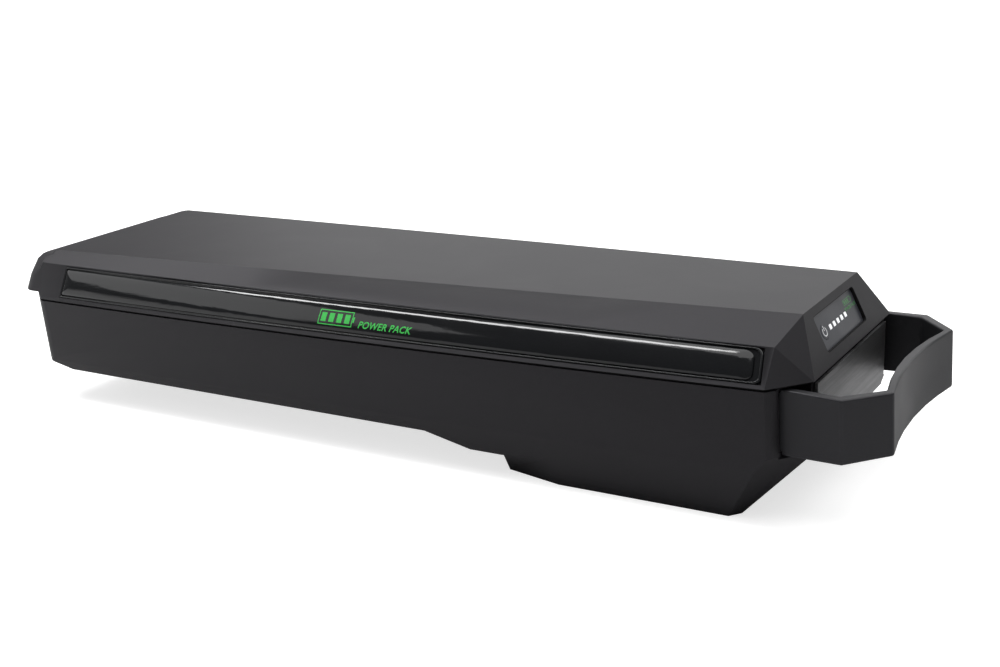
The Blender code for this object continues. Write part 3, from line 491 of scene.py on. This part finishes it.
def markEdges(work, width):
    # narrow strips between broad faces are the rounded edges
    mask = work.faces.layers.float.new("edgeMask")
    for face in work.faces:
        longest = max(edge.calc_length() for edge in face.edges)
        across = face.calc_area() / max(longest, 1e-9)
        bent = any(edge.is_manifold and edge.calc_face_angle(0.0) > math.radians(9)
                   for edge in face.edges)
        face[mask] = 1.0 if across < width and bent else 0.0


def mergedCopy(node):
    # a CAD shape with its points merged and its flat faces whole
    work = bmesh.new()
    work.from_mesh(nodes[node].data)
    bmesh.ops.remove_doubles(work, verts=work.verts, dist=0.004 * mm)
    bmesh.ops.dissolve_limit(work, angle_limit=math.radians(0.5),
                             verts=work.verts, edges=work.edges)
    return work


def refine(node, mat, name, edgeWidth, angle=32.0):
    # the CAD shape with clean shading and an edge mask
    work = mergedCopy(node)
    markEdges(work, edgeWidth * mm)
    toObject(name, work, mat, "pack", (node,), angle)


# housing
refine("lower_case", shadedCasePlastic, "case_shell", 1.6, 28.0)
refine("top_cover", coverPlastic, "cover_shell", 0.9, 24.0)
refine("carry_handle", handlePlastic, "carry_loop", 1.0, 30.0)
refine("end_plate", plateMetal, "end_plate_brushed", 1.3)
refine("discharge_socket", socketPlastic, "socket_body", 1.2)
print("housing finished")

# side strips: a polished half-round bar in a thin tray, both bent to the wall
strip = {
    "frontX": -198.3, "frontLean": 5.6, "rearX": 190.3, "rearLean": -2.0,
    "lowT": 0.13, "highT": 0.97, "height": 16.5, "gap": 0.35, "stations": 72,
    "trayBase": -1.35, "trayWall": 1.5, "frontCorner": 0.8, "rearCorner": 3.0,
    # step inwards and rise of each ring of the tray's lip
    "lip": [(0.1, 0.2), (0.16, 0.1), (0.2, 0.0), (0.16, -0.1), (0.12, -0.25), (0.05, -0.7)],
    "groove": 0.28, "barBase": -0.7, "barWall": 0.35, "crownReach": 6.0, "crownRise": 1.9,
    "barShort": 2.3, "barRearCorner": 3.6,
    "crownAt": [0.06, 0.18, 0.35, 0.6, 0.95, 1.4, 2.0, 2.8, 3.8, 4.9, 6.0],
}
lipWidth = sum(step for step, rise in strip["lip"])
barMargin = strip["gap"] + lipWidth + strip["groove"]


# the cover's slanted wall, in mm: it runs from the seam up to the shoulder
wallOf = {
    "frontX": -196.0, "length": 387.8, "bowMiddle": -10.8, "bowHalf": 202.4,
    "shoulderY": 53.4, "shoulderIn": 5.3, "shoulderBow": 1.5,
    "shoulderZ": 75.1, "shoulderDrop": 5.6, "seamY": 58.6, "seamBow": 3.2, "seamZ": 56.0,
}


def swellAt(x):
    return max(0.0, 1.0 - ((x - wallOf["bowMiddle"]) / wallOf["bowHalf"]) ** 2)


def shoulderAt(x):
    t = (x - wallOf["frontX"]) / wallOf["length"]
    y = wallOf["shoulderY"] - wallOf["shoulderIn"] * t + wallOf["shoulderBow"] * swellAt(x)
    return y, wallOf["shoulderZ"] - wallOf["shoulderDrop"] * t


def seamAt(x):
    return wallOf["seamY"] + wallOf["seamBow"] * swellAt(x)


def onWall(along, t, out, side):
    # along is the length fraction, t runs up the wall, out stands off it, in mm
    front = strip["frontX"] + strip["frontLean"] * t
    rear = strip["rearX"] + strip["rearLean"] * t
    x = front + (rear - front) * along
    shoulderY, shoulderZ = shoulderAt(x)
    rise = Vector((0, shoulderY - seamAt(x), shoulderZ - wallOf["seamZ"]))
    away = Vector((0, rise.z, -rise.y)).normalized()
    spot = Vector((x, seamAt(x), wallOf["seamZ"])) + rise * t + away * out
    return Vector((spot.x, side * spot.y, spot.z)) * mm


def crownAt(distance):
    # half-round rise of the bar at a distance inwards from its edge
    part = 1.0 - min(max(distance, 0.0), strip["crownReach"]) / strip["crownReach"]
    return strip["crownRise"] * math.sqrt(1.0 - part * part)


def flatBar(length, height, frontCorner, rearCorner, segments=6):
    # rounded rectangle in the XY plane with one corner at the origin
    work = bmesh.new()
    bmesh.ops.create_grid(work, x_segments=1, y_segments=1, size=0.5)
    bmesh.ops.scale(work, vec=(length, height, 1.0), verts=work.verts)
    bmesh.ops.translate(work, vec=(length / 2, height / 2, 0.0), verts=work.verts)
    for corner, atRear in ((frontCorner, False), (rearCorner, True)):
        verts = [v for v in work.verts if (v.co.x > length - 0.001) == atRear
                 and (atRear or v.co.x < 0.001)]
        bmesh.ops.bevel(work, geom=verts, offset=corner, offset_type="OFFSET",
                        segments=segments, profile=0.5, affect="VERTICES", material=-1)
    return work


def raiseFace(work, height):
    # keeps the flat face as a base and lifts a copy of it on walls
    grown = bmesh.ops.extrude_face_region(work, geom=work.faces[:], use_keep_orig=True)
    top = [g for g in grown["geom"] if isinstance(g, bmesh.types.BMFace)]
    lifted = [g for g in grown["geom"] if isinstance(g, bmesh.types.BMVert)]
    bmesh.ops.translate(work, vec=(0, 0, height), verts=lifted)
    return top


def cutAcross(work, length, count):
    for i in range(1, count):
        bmesh.ops.bisect_plane(
            work, geom=work.verts[:] + work.edges[:] + work.faces[:], dist=0.001,
            plane_co=(length * i / count, 0, 0), plane_no=(1, 0, 0))


def bendToWall(work, length, height, margin, side):
    for vert in work.verts:
        along = (vert.co.x + margin) / (length + 2 * margin)
        up = (vert.co.y + margin) / (height + 2 * margin)
        t = strip["lowT"] + (strip["highT"] - strip["lowT"]) * up
        vert.co = onWall(along, t, vert.co.z, side)
    bmesh.ops.recalc_face_normals(work, faces=work.faces)


def buildStripPiece(name, side, margin, short, rearCorner, base, wall, rings, mat,
                    replaced):
    fullLength = strip["rearX"] - strip["frontX"] - 2 * margin
    length = fullLength - short
    height = strip["height"] - 2 * margin
    work = flatBar(length, height, strip["frontCorner"], rearCorner)
    bmesh.ops.translate(work, vec=(0, 0, base), verts=work.verts)
    face = raiseFace(work, wall)[0]
    middle = Matrix.Translation((-length / 2, -height / 2, 0.0))
    inset = 0.0
    for step, rise in rings:
        # every ring is the last one drawn in by its step and lifted by its rise
        face = bmesh.ops.extrude_discrete_faces(work, faces=[face])["faces"][0]
        before, inset = inset, inset + step
        bmesh.ops.scale(work, space=middle, verts=face.verts, vec=(
            (length - 2.6 * inset) / (length - 2.6 * before),
            (height - 2 * inset) / (height - 2 * before), 1.0))
        bmesh.ops.translate(work, vec=(0, 0, rise), verts=face.verts)
    cutAcross(work, length, strip["stations"])
    bendToWall(work, fullLength, height, margin, side)
    markEdges(work, 0.35 * mm)
    toObject(name, work, mat, "pack", replaced, 55.0, False)


reaches = [0.0, *strip["crownAt"]]
crownRings = [(b - a, crownAt(b) - crownAt(a)) for a, b in zip(reaches, reaches[1:])]
for side, tag in ((-1, "near"), (1, "far")):
    buildStripPiece("strip_tray_" + tag, side, strip["gap"], 0.0, strip["rearCorner"],
                    strip["trayBase"], strip["trayWall"], strip["lip"], stripRim,
                    ("strip_frame_" + tag,))
    buildStripPiece("strip_bar_" + tag, side, barMargin, strip["barShort"],
                    strip["barRearCorner"], strip["barBase"], strip["barWall"],
                    crownRings, stripGloss, ("strip_lens_" + tag,))
print("side strips finished")

# display on the rear slope: U across, V down the slope, W out of it
display = {
    "top": Vector((196.0, 0.0, 77.15)), "bottom": Vector((205.4, 0.0, 56.0)),
    "labelLevel": -1.45, "middle": 11.0, "windows": (-10.2, -6.05, -1.9, 2.25, 6.4),
    "windowSize": (2.25, 1.95), "windowCorner": 0.16,
    "buttonAt": -17.0, "buttonRadius": 3.08,
    "recessNear": -23.87, "recessFar": 20.07, "recessHigh": 3.23, "recessLow": 18.07,
    "labelLow": 17.25, "labelFar": 19.35, "windowSunk": 0.45, "windowWall": 0.42,
    "windowChamfer": 0.06, "shadeLiningCorner": 1.4, "shadeLiningBase": -2.15, "shadeLiningWall": 1.95,
    "shadeLiningThick": 0.2, "shadeLiningDeep": 1.92, "buttonBase": -1.58, "buttonWall": 0.14,
    # step inwards and rise of each ring of the button's soft edge
    "buttonDome": [(0.1, 0.06), (0.2, 0.05), (0.3, 0.03), (0.5, 0.02), (0.8, 0.01)],
    "symbolLevel": -1.265, "symbolRadius": 1.7, "symbolLine": 0.36,
    "symbolFrom": -52.0, "symbolTo": 232.0, "symbolBar": (-2.35, -0.35),
    "lettersAt": (13.4, 9.7), "lettersSize": 1.8, "printLift": 0.005, "inkHeight": 0.03,
    # the small gauge's near, far, high and low sides, its knob and its bars
    "gauge": (8.4, 16.4, 6.0, 8.0), "gaugeLine": 0.22, "gaugeKnob": (17.0, 6.5, 7.5),
    "gaugeBars": (9.8, 11.6, 13.4), "barSpan": (6.4, 7.6), "barWide": 1.1,
}
slopeDown = (display["bottom"] - display["top"]).normalized()
slopeOut = Vector((-slopeDown.z, 0.0, slopeDown.x))
displayFrame = Matrix((
    (0.0, slopeDown.x * mm, slopeOut.x * mm, display["top"].x * mm),
    (1.0 * mm, 0.0, 0.0, 0.0),
    (0.0, slopeDown.z * mm, slopeOut.z * mm, display["top"].z * mm),
    (0.0, 0.0, 0.0, 1.0),
))


def placeOnSlope(work, name, mat, body="pack", replaced=()):
    bmesh.ops.transform(work, matrix=displayFrame, verts=work.verts)
    bmesh.ops.recalc_face_normals(work, faces=work.faces)
    markEdges(work, 0.3 * mm)
    toObject(name, work, mat, body, replaced, 40.0)


def arcStroke(work, u, v, radius, width, level, start, end):
    # a printed arc: a short radial edge spun about its centre
    first = math.radians(start)
    heading = Vector((math.cos(first), math.sin(first), 0.0))
    centre = Vector((u, v, level))
    a = work.verts.new(centre + heading * (radius - width / 2))
    b = work.verts.new(centre + heading * (radius + width / 2))
    edge = work.edges.new((a, b))
    bmesh.ops.spin(work, geom=[a, b, edge], cent=centre, axis=(0, 0, 1),
                   angle=math.radians(end - start), steps=30, use_merge=False,
                   use_duplicate=False)


def barStroke(work, u0, v0, u1, v1, width, level):
    # a printed line with square ends
    a, b = Vector((u0, v0, level)), Vector((u1, v1, level))
    across = Vector((-(b - a).y, (b - a).x, 0)).normalized() * width / 2
    base = work.edges.new((work.verts.new(a - across), work.verts.new(a + across)))
    grown = bmesh.ops.extrude_edge_only(work, edges=[base])
    moved = [g for g in grown["geom"] if isinstance(g, bmesh.types.BMVert)]
    bmesh.ops.translate(work, vec=b - a, verts=moved)


def lettering(body, size, shear=0.0):
    # plain letters from the built-in font, as a flat mesh centred on the origin
    curve = bpy.data.curves.new("letters", "FONT")
    curve.body = body
    curve.size = size
    curve.shear = shear
    curve.align_x = "CENTER"
    curve.align_y = "CENTER"
    curve.space_character = 1.05
    curve.offset = size * 0.02
    curve.resolution_u = 4
    holder = bpy.data.objects.new("letters", curve)
    flat = bpy.data.meshes.new_from_object(holder)
    work = bmesh.new()
    work.from_mesh(flat)
    bpy.data.objects.remove(holder)
    bpy.data.meshes.remove(flat)
    return work


def merge(work, other):
    # adds another bmesh to this one
    holder = bpy.data.meshes.new("part")
    other.to_mesh(holder)
    other.free()
    work.from_mesh(holder)
    bpy.data.meshes.remove(holder)


plainWords = "POWER PACK"  # says what the object is, on the display and the strips

# the label stops short of the recess at its low and far edges
work = mergedCopy("display_label")
for cutAt, outwards in (
        (Vector((0.0, display["labelLow"], 0.0)), Vector((0.0, 1.0, 0.0))),
        (Vector((display["labelFar"], 0.0, 0.0)), Vector((1.0, 0.0, 0.0)))):
    cut = bmesh.ops.bisect_plane(
        work, geom=work.verts[:] + work.edges[:] + work.faces[:], dist=0.001 * mm,
        plane_co=displayFrame @ cutAt, plane_no=displayFrame.to_3x3() @ outwards,
        clear_outer=True)
    rim = [g for g in cut["geom_cut"] if isinstance(g, bmesh.types.BMEdge)]
    bmesh.ops.holes_fill(work, edges=rim, sides=0)
markEdges(work, 0.4 * mm)
toObject("label_panel", work, labelFilm, "pack", ("display_label",))

# five small panes over the lamps; their white glow is painted
work = bmesh.new()
wide, high = display["windowSize"]
for u in display["windows"]:
    pane = flatBar(wide, high, display["windowCorner"], display["windowCorner"], 3)
    base = display["labelLevel"] - display["windowSunk"]
    bmesh.ops.translate(pane, vec=(u - wide / 2, display["middle"] - high / 2, base),
                        verts=pane.verts)
    face = raiseFace(pane, display["windowWall"])
    bmesh.ops.inset_region(pane, faces=face, thickness=display["windowChamfer"],
                           depth=display["windowChamfer"])
    merge(work, pane)
placeOnSlope(work, "lamp_windows", windowWhite,
             replaced=["charge_window_%d" % n for n in range(1, 6)])

# black lining round the label, painted shade: it makes the recess walls and the gaps at the
# label's low and far edges read black
work = flatBar(display["recessFar"] - display["recessNear"],
               display["recessLow"] - display["recessHigh"],
               display["shadeLiningCorner"], display["shadeLiningCorner"])
bmesh.ops.translate(work, verts=work.verts, vec=(
    display["recessNear"], display["recessHigh"], display["shadeLiningBase"]))
face = raiseFace(work, display["shadeLiningWall"])
for step, rise in ((display["shadeLiningThick"], 0.0), (0.001, -display["shadeLiningDeep"])):
    bmesh.ops.inset_region(work, faces=face, thickness=step, depth=rise)
placeOnSlope(work, "recess_shade_lining", rubberForGasketAndShade)

# the button: a low soft disc with a white power symbol printed on it
u, v = display["buttonAt"], display["middle"]
work = bmesh.new()
bmesh.ops.create_circle(work, cap_ends=True, segments=56, radius=display["buttonRadius"])
bmesh.ops.translate(work, vec=(u, v, display["buttonBase"]), verts=work.verts)
face = raiseFace(work, display["buttonWall"])
for step, rise in display["buttonDome"]:
    bmesh.ops.inset_region(work, faces=face, thickness=step, depth=rise)
placeOnSlope(work, "button_disc", labelFilm, "button", ("power_button",))
work = bmesh.new()
arcStroke(work, u, v, display["symbolRadius"], display["symbolLine"],
          display["symbolLevel"], display["symbolFrom"], display["symbolTo"])
upper, lower = display["symbolBar"]
barStroke(work, u, v + upper, u, v + lower, display["symbolLine"], display["symbolLevel"])
raiseFace(work, display["inkHeight"])
placeOnSlope(work, "power_symbol", whiteInk, "button")

# plain lettering and a small gauge outline printed beside the lamps
level = display["labelLevel"] + display["printLift"]
work = lettering(plainWords, display["lettersSize"])
bmesh.ops.scale(work, vec=(1.0, -1.0, 1.0), verts=work.verts)
bmesh.ops.translate(work, vec=(*display["lettersAt"], level), verts=work.verts)
near, far, high, low = display["gauge"]
knob, knobHigh, knobLow = display["gaugeKnob"]
for line in ((near, high, far, high), (far, low, near, low), (far, high - 0.1, far, low + 0.1),
             (near, low + 0.1, near, high - 0.1), (knob, knobHigh, knob, knobLow)):
    barStroke(work, *line, display["gaugeLine"], level)
for spot in display["gaugeBars"]:
    barStroke(work, spot, display["barSpan"][0], spot, display["barSpan"][1],
              display["barWide"], level)
raiseFace(work, display["inkHeight"])
placeOnSlope(work, "display_print", dimGreenInk)
print("display finished")

# plain green lettering and a charge gauge printed on the strips
mark = {
    "lettersAt": 18.5, "lettersUp": 4.0, "lettersSize": 4.4, "lettersLean": 0.25,
    "gaugeAt": -9.0, "gaugeUp": 6.0, "gaugeLength": 19.0, "gaugeHeight": 6.6, "line": 0.45,
    "knobOut": 0.8, "knobHalf": 1.3, "knobWide": 0.9, "bars": 4, "firstBar": 2.7,
    "barPitch": 4.5, "barWide": 2.9, "barClear": 1.2, "inkHeight": 0.02, "standOff": 0.03,
    "cuts": 40,
}


def printGauge(work):
    # a battery outline with four charge bars
    middle, half = mark["gaugeUp"], mark["line"] / 2
    x0 = mark["gaugeAt"] - mark["gaugeLength"] / 2
    x1 = mark["gaugeAt"] + mark["gaugeLength"] / 2
    y0 = middle - mark["gaugeHeight"] / 2
    y1 = middle + mark["gaugeHeight"] / 2
    for y in (y0, y1):
        barStroke(work, x0 - half, y, x1 + half, y, mark["line"], 0)
    for x in (x0, x1):
        barStroke(work, x, y0 + half, x, y1 - half, mark["line"], 0)
    knob = x1 + mark["knobOut"]
    barStroke(work, knob, middle - mark["knobHalf"], knob, middle + mark["knobHalf"],
              mark["knobWide"], 0)
    for i in range(mark["bars"]):
        spot = x0 + mark["firstBar"] + i * mark["barPitch"]
        barStroke(work, spot, y0 + mark["barClear"], spot, y1 - mark["barClear"],
                  mark["barWide"], 0)


barHeight = strip["height"] - 2 * barMargin
stripLength = strip["rearX"] - strip["frontX"]
for side, tag in ((-1, "near"), (1, "far")):
    work = lettering(plainWords, mark["lettersSize"], mark["lettersLean"])
    bmesh.ops.translate(work, vec=(mark["lettersAt"], mark["lettersUp"], 0), verts=work.verts)
    printGauge(work)
    raiseFace(work, mark["inkHeight"])
    # fine cuts let the flat print follow the crown
    for i in range(1, mark["cuts"]):
        bmesh.ops.bisect_plane(
            work, geom=work.verts[:] + work.edges[:] + work.faces[:], dist=0.0005,
            plane_co=(0, barHeight * i / mark["cuts"], 0), plane_no=(0, 1, 0))
    for vert in work.verts:
        up = vert.co.y
        out = strip["barBase"] + strip["barWall"] + crownAt(min(up, barHeight - up))
        out += mark["standOff"] + vert.co.z
        t = strip["lowT"] + (strip["highT"] - strip["lowT"]) * (
            (up + barMargin) / strip["height"])
        x = -side * vert.co.x
        vert.co = onWall((x - strip["frontX"]) / stripLength, t, out, side)
    bmesh.ops.recalc_face_normals(work, faces=work.faces)
    markEdges(work, 0.1 * mm)
    toObject("strip_print_" + tag, work, greenInk, "pack", (), 40.0, False)
print("strips printed")

# carried-over nodes get their finishes
finishOf = {
    "seam_gasket": rubberForGasketAndShade, "main_fuse": fuseCeramic, "sense_header": headerNylon,
    "bms_heat_sink": sinkMetal, "bms_board": circuitBoard, "display_board": circuitBoard,
    "button_switch": switchBody, "cell_tray": trayPlastic, "foam_pad": padFoam,
    "power_transistor": chipEpoxy, "cell_bank": cellWrap, "discharge_blade": bladeBrass,
    "handle_screw": screwSteel, "case_screw": screwSteel,
}
for name, node in nodes.items():
    for start, mat in finishOf.items():
        if name.startswith(start):
            node.data.materials.clear()
            node.data.materials.append(mat)
print("carried-over nodes finished")

# floor, light and camera
stageSet = {
    "floorSize": 60.0, "floorColour": (0.6, 0.6, 0.6), "floorGlow": 0.7,
    "sunPower": 2.6, "sunSpread": 75.0, "sunTurn": (-8.0, 6.0, 0.0), "skyLight": 0.2,
}
floorWork = bmesh.new()
bmesh.ops.create_grid(floorWork, x_segments=1, y_segments=1, size=stageSet["floorSize"] / 2)
floorMesh = bpy.data.meshes.new("floor")
floorWork.to_mesh(floorMesh)
floorWork.free()
floorMat = bpy.data.materials.new("studio floor")
floorMat.use_nodes = True
floorBsdf = floorMat.node_tree.nodes["Principled BSDF"]
floorBsdf.inputs["Base Color"].default_value = (*stageSet["floorColour"], 1.0)
floorBsdf.inputs["Roughness"].default_value = 0.9
floorBsdf.inputs["Specular IOR Level"].default_value = 0.0
floorBsdf.inputs["Emission Color"].default_value = (1.0, 1.0, 1.0, 1.0)
lightPath = floorMat.node_tree.nodes.new("ShaderNodeLightPath")
glow = mathNode(floorMat.node_tree, "MULTIPLY", lightPath.outputs["Is Camera Ray"],
                stageSet["floorGlow"])
floorMat.node_tree.links.new(glow, floorBsdf.inputs["Emission Strength"])
floorMesh.materials.append(floorMat)
floor = bpy.data.objects.new("studio_floor", floorMesh)
studio.collection.objects.link(floor)

sun = bpy.data.lights.new("wide overhead", "SUN")
sun.energy = stageSet["sunPower"]
sun.angle = math.radians(stageSet["sunSpread"])
sunObject = bpy.data.objects.new("wide overhead", sun)
sunObject.rotation_euler = [math.radians(a) for a in stageSet["sunTurn"]]
studio.collection.objects.link(sunObject)

lamps = [
    # name, place, aim, size, watts
    ("left tube", (-0.6, -0.18, 1.1), (-0.15, -0.1, 0.05), (0.2, 0.78), 9.0),
    ("left fill", (-1.1, -0.62, 0.62), (0.05, 0.0, 0.05), (1.0, 0.7), 3.2),
    ("back sweep", (-0.35, 1.4, 0.7), (0.05, 0.0, 0.05), (2.0, 0.7), 7.0),
    ("right horizon", (0.95, 1.7, 0.3), (0.15, 0.0, 0.05), (1.6, 0.55), 1.7),
]
for name, place, aim, size, watts in lamps:
    light = bpy.data.lights.new(name, "AREA")
    light.shape = "RECTANGLE"
    light.size, light.size_y = size
    light.energy = watts
    lamp = bpy.data.objects.new(name, light)
    lamp.location = place
    lamp.rotation_euler = (Vector(aim) - Vector(place)).to_track_quat("-Z", "Y").to_euler()
    studio.collection.objects.link(lamp)

world = bpy.data.worlds.new("soft studio")
world.use_nodes = True
world.node_tree.nodes["Background"].inputs["Color"].default_value = (1.0, 1.0, 1.0, 1.0)
skyPath = world.node_tree.nodes.new("ShaderNodeLightPath")
skyGlow = mathNode(world.node_tree, "MAXIMUM", skyPath.outputs["Is Camera Ray"],
                   stageSet["skyLight"])
world.node_tree.links.new(skyGlow, world.node_tree.nodes["Background"].inputs["Strength"])
studio.world = world
studio.view_settings.view_transform = "Standard"

view = {"place": (0.3648908, -0.4702119, 0.2236702),
        "turn": (72.5425922, 4.9290180, 33.2245127), "lens": 46.85297}
camera = bpy.data.cameras.new("camera")
camera.lens = view["lens"]
camera.sensor_width = 36.0
camera.clip_start = 0.01
cameraObject = bpy.data.objects.new("camera", camera)
cameraObject.location = view["place"]
cameraObject.rotation_euler = [math.radians(a) for a in view["turn"]]
studio.collection.objects.link(cameraObject)
studio.camera = cameraObject
print("studio ready")
